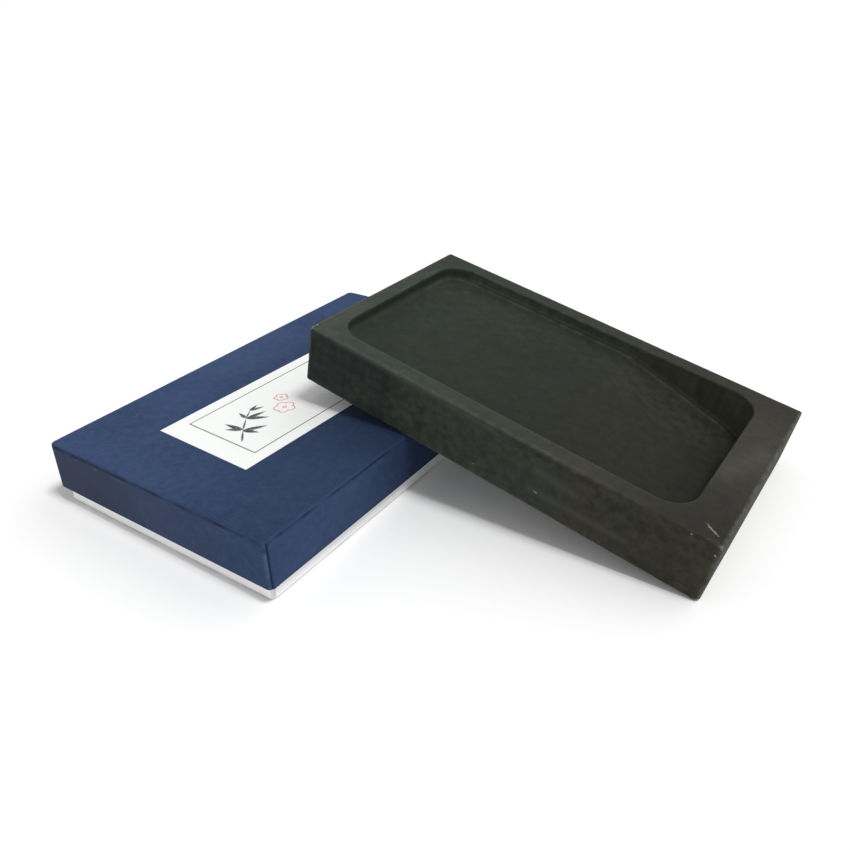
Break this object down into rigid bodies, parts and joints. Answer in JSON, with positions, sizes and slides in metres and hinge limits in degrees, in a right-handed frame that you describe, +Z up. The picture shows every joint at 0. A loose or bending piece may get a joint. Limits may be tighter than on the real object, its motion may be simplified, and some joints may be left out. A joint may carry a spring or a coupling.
{
  "type": "ink stone with case",
  "caption": "Rectangular slate ink stone with a rubbing land sloping into an ink pool, leaning on its closed paper-covered lift-off-lid case.",
  "frame": {"origin": "centre of the case tray's underside, on the surface that the case lies on", "axes": "+X along the case's long side, +Z up, the ink stone leans out of the case towards -Y"},
  "size_m": [0.163, 0.213, 0.056],
  "materials": {
    "slate": "honed, matte",
    "blue_paper": "cloth-grained covering paper, matte",
    "white_paper": "smooth covering paper, satin",
    "label_paper": "uncoated, printed with a thin border",
    "lining_paper": "uncoated",
    "greyboard": "raw grey board",
    "kraft_paper": "gummed kraft tape"
  },
  "bodies": {
    "tray": {"tray_board": "greyboard", "tray_corner_stays": "kraft_paper", "tray_wrap": "white_paper", "tray_liner": "lining_paper"},
    "lid": {"lid_board": "greyboard", "lid_corner_stays": "kraft_paper", "lid_wrap": "blue_paper", "lid_liner": "lining_paper", "label": "label_paper"},
    "stone": {"ink_stone": "slate"}
  },
  "joints": [
    {"name": "lid_lift", "type": "slide", "parent": "tray", "child": "lid", "axis": [0, 0, 1], "range_m": [0, 0.06]},
    {"name": "stone_lift", "type": "slide", "parent": "lid", "child": "stone", "axis": [0, 0, 1], "range_m": [0, 0.12]}
  ]
}
